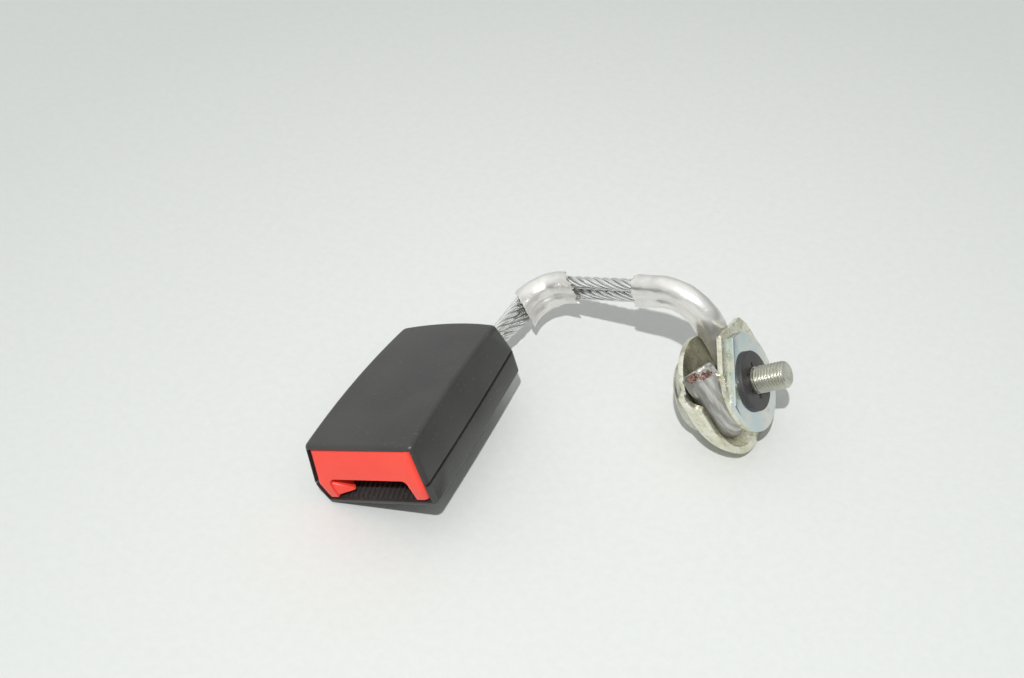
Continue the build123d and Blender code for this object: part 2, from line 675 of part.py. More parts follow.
with BuildPart() as anchor_front_plate:
    with BuildSketch(Plane.XY.offset(front_plate_z)) as plate_outline:
        with BuildLine():
            Polyline(*plate_lug, close=True)
        make_face()
        fillet(plate_outline.vertices().sort_by(Axis.Y)[-3:], lug_corner)
        Circle(plate_radius)
        Rectangle(plate_far, 2 * plate_far_half, align=(Align.MIN, Align.CENTER))
        Circle(shoulder_radius + running, mode=Mode.SUBTRACT)
    extrude(amount=plate_steel)
save(anchor_front_plate, "anchor_front_plate", anchor_plane)

with BuildPart() as spacer_washer:
    with BuildSketch(Plane.XY.offset(spacer_z)):
        Circle(spacer_radius)
        with Locations(Location((0, 0), spacer_flat_angle)):
            with Locations((spacer_flat + spacer_radius, 0)):
                Rectangle(2 * spacer_radius, 4 * spacer_radius, mode=Mode.SUBTRACT)
        Circle(shoulder_radius + 2 * running, mode=Mode.SUBTRACT)
    extrude(amount=spacer_thick)
    fillet(spacer_washer.edges().group_by(Axis.Z)[-1].sort_by(SortBy.LENGTH)[-1], spacer_thick / 3)
save(spacer_washer, "spacer_washer", anchor_plane)

with BuildPart() as retaining_washer:
    with BuildSketch(Plane.XY.offset(retainer_z)):
        Circle(retainer_radius)
        Circle(relief_radius, mode=Mode.SUBTRACT)
        with PolarLocations(notch_reach / 2, retainer_notches):
            Rectangle(notch_reach, notch_width, mode=Mode.SUBTRACT)
    extrude(amount=retainer_thick)
    fillet(retaining_washer.edges().group_by(Axis.Z)[-1].sort_by(SortBy.LENGTH)[-1], retainer_thick / 3)
save(retaining_washer, "retaining_washer", anchor_plane)

# ---- route of the rope pair, in the shared frame
def on_buckle(x, y, z):
    return buckle_plane.from_local_coords(Vector(x, y, z))


def on_anchor(away, up, along):
    return anchor_plane.from_local_coords(Vector(away, up, along))


leg_up = anchor_plane.y_dir
elbow = on_buckle(*elbow_corner)
bend = on_anchor(hook_radius, bend_height, hook_z)
run_in = (elbow - on_buckle(*twist_end)).normalized()
run_out = (bend - elbow).normalized()
elbow_stack = run_out.cross(run_in).normalized()
if elbow_stack.Z < 0:
    elbow_stack = -elbow_stack
bend_normal = run_out.cross(-leg_up).normalized()
bend_stack_in = bend_normal.cross(run_out).normalized()
if bend_stack_in.Z < 0:
    bend_stack_in = -bend_stack_in
bend_stack_out = bend_normal.cross(-leg_up).normalized()
if bend_stack_out.dot(bolt_axis) < 0:
    bend_stack_out = -bend_stack_out
bend_miter = (bend_stack_in + bend_stack_out) / (1 + bend_stack_in.dot(bend_stack_out))
twist = radians(exit_twist)


def rope_route(side, gap):
    """Corners and corner radii of one run, from the saddle to the cut end."""
    leg_top = on_anchor(hook_radius, twist_top, hook_z)
    points = [
        on_buckle(exit_x + side * gap * sin(twist), exit_y, exit_z + side * gap * cos(twist)),
        on_buckle(*twist_end) + elbow_stack * side * gap,
        elbow + elbow_stack * side * gap,
        bend + bend_miter * side * gap,
        leg_top + bend_stack_out * side * gap,
        on_anchor(hook_radius, twist_low, hook_z + side * gap),
        on_anchor(hook_radius, -hook_radius, hook_z + side * gap),
        on_anchor(-hook_radius, -hook_radius, hook_z + side * gap),
        on_anchor(-hook_radius, hook_end, hook_z + side * gap),
    ]
    radii = [
        exit_bend, twist_bend, elbow_radius, bend_radius + side * gap,
        twist_bend, twist_bend, hook_radius - hook_slack, hook_radius - hook_slack,
    ]
    return points, radii


upper_points, upper_radii = rope_route(1, rope_half_gap)
lower_points, lower_radii = rope_route(-1, rope_half_gap)
saddle_turn = [
    on_buckle(saddle_x - saddle_bend, saddle_y, saddle_z),
    on_buckle(saddle_x - saddle_bend, saddle_y - saddle_bend, saddle_z),
    on_buckle(saddle_x + saddle_bend, saddle_y - saddle_bend, saddle_z),
    on_buckle(saddle_x + saddle_bend, saddle_y, saddle_z),
]
rope_points = lower_points[::-1] + saddle_turn + upper_points
rope_radii = (
    lower_radii[::-1] + [saddle_leg_bend] + [saddle_bend - hook_slack] * 2 + [saddle_leg_bend]
    + upper_radii
)
with BuildPart() as wire_rope:
    with BuildLine() as rope_path:
        FilletPolyline(*rope_points, radius=rope_radii)
    with BuildSketch(rope_path.line ^ 0):
        Circle(rope_radius)
    sweep()
save(wire_rope, "wire_rope")


# ---- sleeves: two lobes and a waist, swaged on the rope pair
def sleeve_section(place, stack, forward, lobe, half_gap, waist):
    """Section of a sleeve at a place, its lobes apart along stack."""
    with BuildSketch(Plane(origin=place, x_dir=stack, z_dir=forward)) as section:
        with Locations((-half_gap, 0), (half_gap, 0)):
            Circle(lobe)
        Rectangle(2 * half_gap, 2 * waist)
    return section.sketch


def hook_section(place, stack, forward):
    """Section where the sleeve is pressed square about the bush."""
    with BuildSketch(Plane(origin=place, x_dir=stack, z_dir=forward)) as section:
        RectangleRounded(hook_width, hook_depth, hook_corner)
    return section.sketch


elbow_start = elbow - run_in * elbow_before
elbow_end = elbow + run_out * elbow_after
with BuildPart() as elbow_sleeve:
    with BuildLine() as elbow_path:
        FilletPolyline(elbow_start, elbow, elbow_end, radius=elbow_radius)
    sweep(
        sleeve_section(elbow_start, elbow_stack, run_in, lobe_radius, lobe_half_gap, waist_half),
        path=elbow_path.line,
    )
    add(wire_rope.part, mode=Mode.SUBTRACT)
save(elbow_sleeve, "elbow_sleeve")

sleeve_start = bend - run_out * sleeve_before_bend
leg_top = on_anchor(hook_radius, twist_top, hook_z)
leg_low = on_anchor(hook_radius, twist_low, hook_z)
hook_corners = [(hook_radius, -hook_radius, hook_z), (-hook_radius, -hook_radius, hook_z)]
with BuildPart() as anchor_sleeve:
    with BuildLine() as bend_path:
        FilletPolyline(sleeve_start, bend, leg_top, radius=bend_radius)
    sweep(
        sleeve_section(
            sleeve_start, bend_stack_in, run_out, lobe_radius, lobe_half_gap, waist_half
        ),
        path=bend_path.line,
    )
    loft([
        sleeve_section(leg_top, bend_stack_out, -leg_up, lobe_radius, lobe_half_gap, waist_half),
        sleeve_section(
            leg_low, bolt_axis, -leg_up, leg_lobe, hook_width / 2 - leg_lobe, leg_waist
        ),
    ])
    with BuildLine() as hook_path:
        FilletPolyline(
            leg_low, *[on_anchor(*corner) for corner in hook_corners],
            on_anchor(-hook_radius, hook_end, hook_z), radius=hook_radius - hook_slack,
        )
    sweep(hook_section(leg_low, bolt_axis, -leg_up), path=hook_path.line)
    add(wire_rope.part, mode=Mode.SUBTRACT)
save(anchor_sleeve, "anchor_sleeve")
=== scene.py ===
import bpy
import bmesh
from math import cos, pi, radians, sin, tan
from mathutils import Matrix, Quaternion, Vector, noise


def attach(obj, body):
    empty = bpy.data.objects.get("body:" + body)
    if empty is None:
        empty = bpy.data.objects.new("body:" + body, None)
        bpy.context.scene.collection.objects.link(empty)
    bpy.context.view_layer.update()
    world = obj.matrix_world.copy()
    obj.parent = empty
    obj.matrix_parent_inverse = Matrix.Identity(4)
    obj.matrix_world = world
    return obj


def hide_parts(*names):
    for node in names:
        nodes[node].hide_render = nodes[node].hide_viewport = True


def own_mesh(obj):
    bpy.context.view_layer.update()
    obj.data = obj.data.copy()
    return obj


# Seat belt buckle on a twin wire rope stalk. Metres, in the frame of the part's own model.
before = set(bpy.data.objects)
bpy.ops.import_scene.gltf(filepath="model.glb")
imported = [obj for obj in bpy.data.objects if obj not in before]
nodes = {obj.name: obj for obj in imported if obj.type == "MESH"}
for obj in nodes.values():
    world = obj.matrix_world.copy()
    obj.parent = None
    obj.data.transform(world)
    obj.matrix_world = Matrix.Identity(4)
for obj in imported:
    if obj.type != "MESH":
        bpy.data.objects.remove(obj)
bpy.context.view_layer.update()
scene = bpy.context.scene
print("stage 1: model loaded,", len(nodes), "pieces")

buckleAt = Matrix((                       # the buckle's own frame: across, back from the mouth, up
    (0.919135, 0.0, -0.393942, -0.042815),
    (0.0, 1.0, 0.0, -0.058018),
    (0.393942, 0.0, 0.919135, 0.009073),
    (0.0, 0.0, 0.0, 1.0),
))
anchorAt = Matrix((                       # the anchor's own frame: away, up, along the bolt
    (-0.109734, -0.522298, 0.845673, 0.043755),
    (0.993961, -0.057662, 0.093363, 0.031982),
    (0.0, 0.850811, 0.525472, 0.017621),
    (0.0, 0.0, 0.0, 1.0),
))
midTones = (0.35, 0.65)                   # the part of a noise where one tone gives way to another


# Node trees, written as sums on sockets and dictionaries of settings.
class Value:                              # one output socket; sums on it add Math nodes
    def __init__(self, tree, socket):
        self.tree, self.socket = tree, socket

    def maths(self, operation, *values):
        return self.tree.node("ShaderNodeMath", {"operation": operation}, dict(enumerate(values)))

    def __add__(self, other):
        return self.maths("ADD", self, other)

    def __radd__(self, other):
        return self.maths("ADD", other, self)

    def __sub__(self, other):
        return self.maths("SUBTRACT", self, other)

    def __rsub__(self, other):
        return self.maths("SUBTRACT", other, self)

    def __mul__(self, other):
        return self.maths("MULTIPLY", self, other)

    def __truediv__(self, other):
        return self.maths("DIVIDE", self, other)

    def output(self, name):
        return Value(self.tree, self.socket.node.outputs[name])


class Tree:                               # a node tree with one way to add a node
    def __init__(self, nodeTree):
        self.nodeTree = nodeTree

    def feed(self, socket, value):
        if isinstance(value, Value):
            self.nodeTree.links.new(value.socket, socket)
        else:
            socket.default_value = value

    def node(self, kind, settings=None, sockets=None, output=0):
        made = self.nodeTree.nodes.new(kind)
        for name, value in (settings or {}).items():
            setattr(made, name, value)
        for key, value in (sockets or {}).items():
            self.feed(made.inputs[key], value)
        return Value(self, made.outputs[output])

    def noise(self, place, size, detail=2.0, roughness=0.5):
        return self.node(
            "ShaderNodeTexNoise", {},
            {"Vector": place, "Scale": 1.0 / size, "Detail": detail, "Roughness": roughness},
        )

    def between(self, value, low, high):  # 0 at low and 1 at high
        return self.node(
            "ShaderNodeMapRange", {"clamp": True}, {0: value, 1: low, 2: high, 3: 0.0, 4: 1.0}
        )

    def mix(self, factor, colourA, colourB):
        ends = [c if isinstance(c, Value) else (*c, 1.0) for c in (colourA, colourB)]
        return self.node(
            "ShaderNodeMix", {"data_type": "RGBA"}, {0: factor, 6: ends[0], 7: ends[1]}, output=2
        )

    def bump(self, height, depth):
        return self.node(
            "ShaderNodeBump", {}, {"Height": height, "Distance": depth, "Strength": 1.0}
        )

    def vectorMaths(self, operation, sockets, output=0):
        return self.node("ShaderNodeVectorMath", {"operation": operation}, sockets, output)

    def split(self, vector):              # its X; output("Y") and output("Z") give the others
        return self.node("ShaderNodeSeparateXYZ", {}, {0: vector})

    def stored(self, geometry, name, value, kind="FLOAT"):
        return self.node(
            "GeometryNodeStoreNamedAttribute", {"data_type": kind, "domain": "POINT"},
            {"Geometry": geometry, "Name": name, "Value": value},
        )

    def recalled(self, name, output):     # in a finish, what a geometry tree or a mesh stored
        return self.node("ShaderNodeAttribute", {"attribute_name": name}, output=output)


def newFinish(name, **plain):             # a material, its tree, its shader, the place on the piece
    material = bpy.data.materials.new(name)
    material.use_nodes = True
    tree = Tree(material.node_tree)
    shader = material.node_tree.nodes["Principled BSDF"]
    for socket, value in plain.items():
        shader.inputs[socket.replace("_", " ")].default_value = value
    place = tree.node("ShaderNodeTexCoord", output="Object")
    return material, tree, shader, place


# Plastics: a fine grain, faint clouds and a few paler specks.
plasticCommon = {"ior": 1.5, "cloudSize": 0.02, "speckRange": (0.66, 0.72)}


def mouldedPlastic(name, look):
    look = {**plasticCommon, **look}
    material, tree, shader, place = newFinish(name, Metallic=0.0, IOR=look["ior"])
    grain = tree.noise(place, look["grainSize"], detail=3.0, roughness=0.6)
    cloud = tree.noise(place, look["cloudSize"])
    specks = tree.between(tree.noise(place, look["speckSize"]), *look["speckRange"])
    colour = tree.mix(tree.between(cloud, *midTones), look["colour"], look["cloudColour"])
    colour = tree.mix(specks * look["speckAmount"], colour, look["speckColour"])
    roughness = look["roughness"] + (grain - 0.5) * look["roughnessSpread"]
    tree.feed(shader.inputs["Base Color"], colour)
    tree.feed(shader.inputs["Roughness"], roughness)
    tree.feed(shader.inputs["Normal"], tree.bump(grain, look["grainDepth"]))
    return material


housingLook = {
    "colour": (0.036, 0.036, 0.035), "cloudColour": (0.046, 0.045, 0.044),
    "speckColour": (0.16, 0.16, 0.155), "speckAmount": 0.35, "speckSize": 0.0011,
    "grainSize": 0.00055, "grainDepth": 0.00004, "roughness": 0.36, "roughnessSpread": 0.2,
}
buttonLook = {
    "colour": (0.95, 0.075, 0.048), "cloudColour": (0.92, 0.066, 0.042),
    "speckColour": (0.95, 0.20, 0.14), "speckAmount": 0.25, "speckSize": 0.0012,
    "grainSize": 0.0006, "grainDepth": 0.00002, "roughness": 0.36, "roughnessSpread": 0.15,
}
innerLook = {
    "colour": (0.014, 0.014, 0.015), "cloudColour": (0.020, 0.020, 0.021),
    "speckColour": (0.10, 0.10, 0.10), "speckAmount": 0.2, "speckSize": 0.001,
    "grainSize": 0.0008, "grainDepth": 0.00003, "roughness": 0.45, "roughnessSpread": 0.2,
}
fibreLook = {
    "colour": (0.042, 0.038, 0.040), "cloudColour": (0.060, 0.054, 0.055),
    "speckColour": (0.20, 0.18, 0.17), "speckAmount": 0.3, "speckSize": 0.0007,
    "grainSize": 0.0007, "grainDepth": 0.00005, "roughness": 0.42, "roughnessSpread": 0.3,
}
feltLook = {
    "colour": (0.030, 0.030, 0.031), "cloudColour": (0.045, 0.045, 0.046),
    "speckColour": (0.16, 0.16, 0.16), "speckAmount": 0.4, "speckSize": 0.0005,
    "grainSize": 0.0004, "grainDepth": 0.0002, "roughness": 0.95, "roughnessSpread": 0.1,
}
housingPlastic = mouldedPlastic("housingPlastic", housingLook)
buttonPlastic = mouldedPlastic("buttonPlastic", buttonLook)
innerPlastic = mouldedPlastic("innerPlastic", innerLook)
brownFibre = mouldedPlastic("brownFibre", fibreLook)
blackFelt = mouldedPlastic("blackFelt", feltLook)


# Metals: two tones in clouds, duller specks that stand up a little, and fine dents.
metalCommon = {"metallic": 0.95, "speckAmount": 0.4, "speckRoughness": 0.12, "speckLift": 0.5}


def platedSteel(name, look):
    look = {**metalCommon, **look}
    material, tree, shader, place = newFinish(name, Metallic=look["metallic"])
    cloud = tree.noise(place, look["cloudSize"], detail=3.0, roughness=0.6)
    cloud = tree.between(cloud, *midTones)
    specks = tree.noise(place, look["speckSize"], detail=3.0, roughness=0.65)
    specks = tree.between(specks, *look["speckRange"])
    relief = tree.noise(place, look["dentSize"]) + specks * look["speckLift"]
    colour = tree.mix(cloud, look["colour"], look["cloudColour"])
    colour = tree.mix(specks * look["speckAmount"], colour, look["speckColour"])
    roughness = look["roughness"] + (cloud - 0.5) * look["roughnessSpread"]
    roughness = roughness + specks * look["speckRoughness"]
    tree.feed(shader.inputs["Base Color"], colour)
    tree.feed(shader.inputs["Roughness"], roughness)
    tree.feed(shader.inputs["Normal"], tree.bump(relief, look["dentDepth"]))
    return material


yellowZincLook = {
    "metallic": 0.92, "roughness": 0.17, "roughnessSpread": 0.14,
    "colour": (0.86, 0.85, 0.75), "cloudColour": (0.68, 0.66, 0.49), "cloudSize": 0.004,
    "speckColour": (0.40, 0.38, 0.24), "speckAmount": 0.5, "speckSize": 0.0016,
    "speckRange": (0.54, 0.68), "dentSize": 0.0022, "dentDepth": 0.00009,
}
blueZincLook = {
    "roughness": 0.17, "roughnessSpread": 0.08,
    "colour": (0.56, 0.67, 0.70), "cloudColour": (0.74, 0.74, 0.68), "cloudSize": 0.009,
    "speckColour": (0.60, 0.58, 0.62), "speckSize": 0.005,
    "speckRange": (0.50, 0.70), "dentSize": 0.006, "dentDepth": 0.00005,
}
boltLook = {
    "roughness": 0.30, "roughnessSpread": 0.12,
    "colour": (0.60, 0.60, 0.53), "cloudColour": (0.50, 0.50, 0.43), "cloudSize": 0.005,
    "speckColour": (0.45, 0.43, 0.33), "speckSize": 0.0011,
    "speckRange": (0.56, 0.70), "dentSize": 0.0015, "dentDepth": 0.00005,
}
plainSteelLook = {
    "roughness": 0.35, "roughnessSpread": 0.15,
    "colour": (0.42, 0.42, 0.42), "cloudColour": (0.34, 0.34, 0.34), "cloudSize": 0.006,
    "speckColour": (0.20, 0.19, 0.18), "speckSize": 0.001,
    "speckRange": (0.55, 0.70), "dentSize": 0.002, "dentDepth": 0.00005,
}
springSteelLook = {**plainSteelLook, "colour": (0.36, 0.37, 0.39), "roughness": 0.25}
yellowZinc = platedSteel("yellowZinc", yellowZincLook)
blueZinc = platedSteel("blueZinc", blueZincLook)
boltSteel = platedSteel("boltSteel", boltLook)
plainSteel = platedSteel("plainSteel", plainSteelLook)
springSteel = platedSteel("springSteel", springSteelLook)

finishOf = {                              # the rope, sleeves, springs and bolt get theirs below
    "upper_cover": housingPlastic, "lower_cover": housingPlastic, "press_button": buttonPlastic,
    "frame": plainSteel, "latch": plainSteel, "latch_pin": plainSteel, "ejector": innerPlastic,
    "lock_slider": innerPlastic, "spring_bridge": plainSteel, "frame_rivets": plainSteel,
    "cable_saddle": plainSteel, "saddle_pin": plainSteel, "rattle_pad": blackFelt,
    "anchor_cup": yellowZinc, "anchor_front_plate": yellowZinc, "spacer_bush": plainSteel,
    "spacer_washer": blueZinc, "retaining_washer": brownFibre,
}
for name, material in finishOf.items():
    for place in nodes[name].material_slots:
        place.material = material
print("stage 2: finishes made")


# Pieces, and CAD nodes whose edges are rounded.
def newPiece(name, mesh, body, replaced=()):
    piece = bpy.data.objects.new(name, mesh)
    scene.collection.objects.link(piece)
    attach(piece, body)
    if replaced:
        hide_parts(*replaced)
    return piece


def plainMesh(source, place=None):        # the evaluated object as a mesh in the part's frame
    graph = bpy.context.evaluated_depsgraph_get()
    mesh = bpy.data.meshes.new_from_object(source.evaluated_get(graph))
    if place:
        mesh.transform(place)
    bpy.data.objects.remove(source)
    return mesh


def meshFrom(work, name, material, sharpAngle=None):
    mesh = bpy.data.meshes.new(name)
    work.to_mesh(mesh)
    work.free()
    mesh.shade_smooth()
    if sharpAngle:
        mesh.set_sharp_from_angle(angle=radians(sharpAngle))
    mesh.materials.append(material)
    return mesh


edgeLook = {                              # edges sharper than an angle are rounded, in degrees
    "joinWithin": 2e-6, "flatAngle": 0.6, "sharpAngle": 28, "segments": 2, "profile": 0.6,
    "shadeAngle": 35,
}


def roundedCopy(name, width, look):
    work = bmesh.new()
    work.from_mesh(nodes[name].data)
    bmesh.ops.remove_doubles(work, verts=work.verts, dist=look["joinWithin"])
    bmesh.ops.dissolve_limit(
        work, angle_limit=radians(look["flatAngle"]), verts=work.verts, edges=work.edges
    )
    sharp = radians(look["sharpAngle"])
    edges = [e for e in work.edges if len(e.link_faces) == 2 and e.calc_face_angle() > sharp]
    bmesh.ops.bevel(
        work, geom=edges, offset=width, offset_type="OFFSET", segments=look["segments"],
        profile=look["profile"], clamp_overlap=True, affect="EDGES",
    )
    bmesh.ops.triangulate(work, faces=[f for f in work.faces if len(f.verts) > 4])
    return work


def softened(name, body, width):
    work = roundedCopy(name, width, edgeLook)
    mesh = meshFrom(work, name + "Soft", finishOf[name], edgeLook["shadeAngle"])
    return newPiece(name + "Soft", mesh, body, (name,))


# Wire rope: strands laid round a core along the route.
ropeRoute = [                             # corner of the route and the radius of its bend there
    ((0.0415, 0.01996, 0.03423), 0.0), ((0.05597, 0.02156, 0.01066), 0.01155),
    ((0.0534, 0.04482, 0.01066), 0.01155), ((0.03935, 0.04327, 0.03355), 0.03),
    ((0.03635, 0.04377, 0.03856), 0.03), ((0.03002, 0.04307, 0.04887), 0.0114),
    ((-0.03343, 0.05942, 0.01528), 0.0116), ((-0.03482, 0.03882, 0.01599), 0.03),
    ((-0.03974, 0.01248, 0.01753), 0.009), ((-0.04628, 0.00148, 0.01716), 0.008),
    ((-0.04628, -0.00452, 0.01716), 0.00585), ((-0.03525, -0.00452, 0.02189), 0.00585),
    ((-0.03525, 0.00148, 0.02189), 0.008), ((-0.03781, 0.01248, 0.02236), 0.009),
    ((-0.03718, 0.03914, 0.02061), 0.03), ((-0.03579, 0.05974, 0.01991), 0.0116),
    ((0.03178, 0.04159, 0.05567), 0.0166), ((0.0407, 0.04258, 0.04114), 0.03),
    ((0.04375, 0.04375, 0.03628), 0.03), ((0.0578, 0.0453, 0.01339), 0.01155),
    ((0.06037, 0.02204, 0.01339), 0.01155), ((0.0459, 0.02045, 0.03696), 0.0),
]
ropeLook = {
    "strands": 6, "strandRadius": 0.00080, "ringRadius": 0.00168, "layLength": 0.028,
    "step": 0.0006, "sides": 10, "bendPoints": 14, "endLength": 0.002, "metallic": 0.9,
    "wires": 5, "wireLay": 0.016, "wireDepth": 0.00003, "wireRange": (0.0, 0.55),
    # the groove colour is painted shade between the wires
    "colour": (0.84, 0.85, 0.84), "grooveShadeColour": (0.62, 0.63, 0.61), "roughness": 0.20,
    "stainColour": (0.45, 0.44, 0.43), "stainAmount": 0.4, "stainSize": 0.004,
    "stainRange": (0.45, 0.75), "stainRoughness": 0.2,
    "rust": (0.20, 0.075, 0.045), "rustPale": (0.42, 0.33, 0.30), "rustSize": 0.0009,
    "rustRange": (0.4, 0.6), "rustRoughness": 0.3,
}


def newGroup(name, inputs):               # a geometry tree with named inputs
    group = bpy.data.node_groups.new(name, "GeometryNodeTree")
    group.interface.new_socket("Geometry", in_out="INPUT", socket_type="NodeSocketGeometry")
    for label, kind in inputs.items():
        group.interface.new_socket(label, in_out="INPUT", socket_type="NodeSocket" + kind)
    group.interface.new_socket("Geometry", in_out="OUTPUT", socket_type="NodeSocketGeometry")
    tree = Tree(group)
    entry = group.nodes.new("NodeGroupInput")
    given = {s.name: Value(tree, s) for s in entry.outputs if s.name}
    return group, tree, given


def addModifier(target, group, values):
    modifier = target.modifiers.new("make", "NODES")
    modifier.node_group = group
    for item in group.interface.items_tree:
        if item.item_type == "SOCKET" and item.in_out == "INPUT" and item.name in values:
            modifier[item.identifier] = values[item.name]


def closeGroup(tree, solid, material):    # smooth, made real and in its material
    solid = tree.node("GeometryNodeSetShadeSmooth", {}, {"Geometry": solid})
    solid = tree.node("GeometryNodeRealizeInstances", {}, {"Geometry": solid})
    solid = tree.node("GeometryNodeSetMaterial", {}, {"Geometry": solid, "Material": material})
    end = tree.nodeTree.nodes.new("NodeGroupOutput")
    tree.feed(end.inputs[0], solid)


def strandTree():
    group, tree, given = newGroup("laidStrands", {
        "Strands": "Int", "Strand radius": "Float", "Ring radius": "Float",
        "Lay length": "Float", "Step": "Float", "Sides": "Int", "Bend points": "Int",
        "End length": "Float", "Material": "Material",
    })
    bendRadius = tree.node("GeometryNodeInputRadius")
    route = tree.node("GeometryNodeFilletCurve", {"mode": "POLY"}, {
        "Curve": given["Geometry"], "Count": given["Bend points"], "Radius": bendRadius,
        "Limit Radius": False,
    })
    route = tree.node("GeometryNodeSetCurveRadius", {}, {"Curve": route, "Radius": 1.0})
    route = tree.node(
        "GeometryNodeResampleCurve", {"mode": "LENGTH"}, {"Curve": route, "Length": given["Step"]}
    )
    route = tree.node("GeometryNodeSetCurveNormal", {"mode": "MINIMUM_TWIST"}, {"Curve": route})
    along = tree.node("GeometryNodeSplineParameter", output="Length")
    route = tree.stored(route, "along", along)
    factor = along.output("Factor")
    total = tree.node("GeometryNodeSplineLength")
    fromEnd = factor.maths("MINIMUM", factor, 1.0 - factor) * total
    atEnd = fromEnd.maths("LESS_THAN", fromEnd, given["End length"])
    route = tree.stored(route, "atEnd", atEnd)

    copies = tree.node(
        "GeometryNodeDuplicateElements", {"domain": "SPLINE"},
        {"Geometry": route, "Amount": given["Strands"]},
    )
    index = copies.output("Duplicate Index")
    turn = (index / given["Strands"] + along / given["Lay length"]) * (2 * pi)
    normal = tree.node("GeometryNodeInputNormal")
    tangent = tree.node("GeometryNodeInputTangent")
    across = tree.vectorMaths("CROSS_PRODUCT", {0: tangent, 1: normal})
    radial = []
    for direction, wave in ((normal, "COSINE"), (across, "SINE")):
        reach = turn.maths(wave, turn) * given["Ring radius"]
        radial.append(tree.vectorMaths("SCALE", {0: direction, "Scale": reach}))
    offset = tree.vectorMaths("ADD", dict(enumerate(radial)))
    moved = tree.node("GeometryNodeSetPosition", {}, {"Geometry": copies, "Offset": offset})
    both = tree.node("GeometryNodeJoinGeometry", {}, {0: moved})
    tree.nodeTree.links.new(route.socket, both.socket.node.inputs[0])

    profile = tree.node(
        "GeometryNodeCurvePrimitiveCircle", {},
        {"Resolution": given["Sides"], "Radius": given["Strand radius"]},
    )
    around = tree.vectorMaths("NORMALIZE", {0: tree.node("GeometryNodeInputPosition")})
    profile = tree.stored(profile, "around", around, "FLOAT_VECTOR")
    solid = tree.node(
        "GeometryNodeCurveToMesh", {}, {"Curve": both, "Profile Curve": profile, "Fill Caps": True}
    )
    closeGroup(tree, solid, given["Material"])
    return group


def ropeFinish(look):                     # wires that wind round each strand, painted shade in the grooves between them, rust at the cut ends
    material, tree, shader, place = newFinish("ropeWires", Metallic=look["metallic"])
    around = tree.split(tree.recalled("around", "Vector"))
    along = tree.recalled("along", "Fac")
    atEnd = tree.recalled("atEnd", "Fac")
    angle = around.maths("ARCTAN2", around.output("Y"), around)
    phase = angle * look["wires"] + along * (2 * pi / look["wireLay"])
    wires = (phase.maths("SINE", phase) + 1.0) * 0.5
    stain = tree.between(tree.noise(place, look["stainSize"], detail=3.0), *look["stainRange"])
    blots = tree.between(tree.noise(place, look["rustSize"], detail=3.0), *look["rustRange"])
    raised = tree.between(wires, *look["wireRange"])
    # painted shade in the grooves between the wires, lighter on their crests
    colour = tree.mix(raised, look["grooveShadeColour"], look["colour"])
    colour = tree.mix(stain * look["stainAmount"], colour, look["stainColour"])
    colour = tree.mix(atEnd, colour, tree.mix(blots, look["rust"], look["rustPale"]))
    roughness = look["roughness"] + stain * look["stainRoughness"]
    roughness = roughness + atEnd * look["rustRoughness"]
    tree.feed(shader.inputs["Base Color"], colour)
    tree.feed(shader.inputs["Roughness"], roughness)
    tree.feed(shader.inputs["Normal"], tree.bump(wires, look["wireDepth"]))
    return material


def newRoute(name, corners):
    curve = bpy.data.curves.new(name, "CURVE")
    curve.dimensions = "3D"
    line = curve.splines.new("POLY")
    line.points.add(len(corners) - 1)
    for point, (place, radius) in zip(line.points, corners):
        point.co = (*place, 1.0)
        point.radius = radius
    route = bpy.data.objects.new(name, curve)
    scene.collection.objects.link(route)
    return route


ropeSource = newRoute("ropeRoute", ropeRoute)
addModifier(ropeSource, strandTree(), {
    "Strands": ropeLook["strands"], "Strand radius": ropeLook["strandRadius"],
    "Ring radius": ropeLook["ringRadius"], "Lay length": ropeLook["layLength"],
    "Step": ropeLook["step"], "Sides": ropeLook["sides"], "Bend points": ropeLook["bendPoints"],
    "End length": ropeLook["endLength"], "Material": ropeFinish(ropeLook),
})
ropeMesh = plainMesh(ropeSource)
newPiece("ropeStrands", ropeMesh, "buckle", ("wire_rope",))
print("stage 3: rope laid,", len(ropeMesh.polygons), "faces")


# Pressed aluminium sleeves: a section carried along a path of straight runs and bends.
def roundedPath(corners, step):           # points along straight runs joined by arcs
    places = [Vector(place) for place, radius in corners]
    points, last = [], places[0]
    for index in range(1, len(places) - 1):
        bend = corners[index][1]
        before = (places[index] - places[index - 1]).normalized()
        after = (places[index + 1] - places[index]).normalized()
        turn = before.angle(after)
        reach = bend * tan(turn / 2)
        start = places[index] - before * reach
        points += runPoints(last, start, step)
        inward = (after - before * before.dot(after)).normalized()
        centre = start + inward * bend
        count = max(4, int(bend * turn / step))     # four points at least in a bend
        for part in range(count):
            angle = turn * part / count
            points.append(centre + (before * sin(angle) - inward * cos(angle)) * bend)
        last = places[index] + after * reach
    return points + runPoints(last, places[-1], step) + [places[-1]]


def runPoints(start, end, step):
    count = max(1, int((end - start).length / step))
    return [start.lerp(end, part / count) for part in range(count)]


def smoothMost(first, second, width):     # the greater of two, rounded where they cross
    share = max(0.0, min(1.0, 0.5 + (first - second) / (2 * width)))
    return second + (first - second) * share + width * share * (1 - share)


def blended(stops, at):                   # values between named places along the sleeve
    for (low, first), (high, second) in zip(stops, stops[1:]):
        if at <= high:
            share = max(0.0, (at - low) / (high - low))
            share = share * share * (3 - 2 * share)
            return [a + (b - a) * share for a, b in zip(first, second)]
    return list(stops[-1][1])


sectionLook = {"cornerShare": 0.54, "waistBlend": 0.0006, "flatBlend": 0.0004}
cutLook = {"ragLength": 0.0008, "ragsPerMetre": 900, "ragChange": 1000, "slantLength": 0.008}


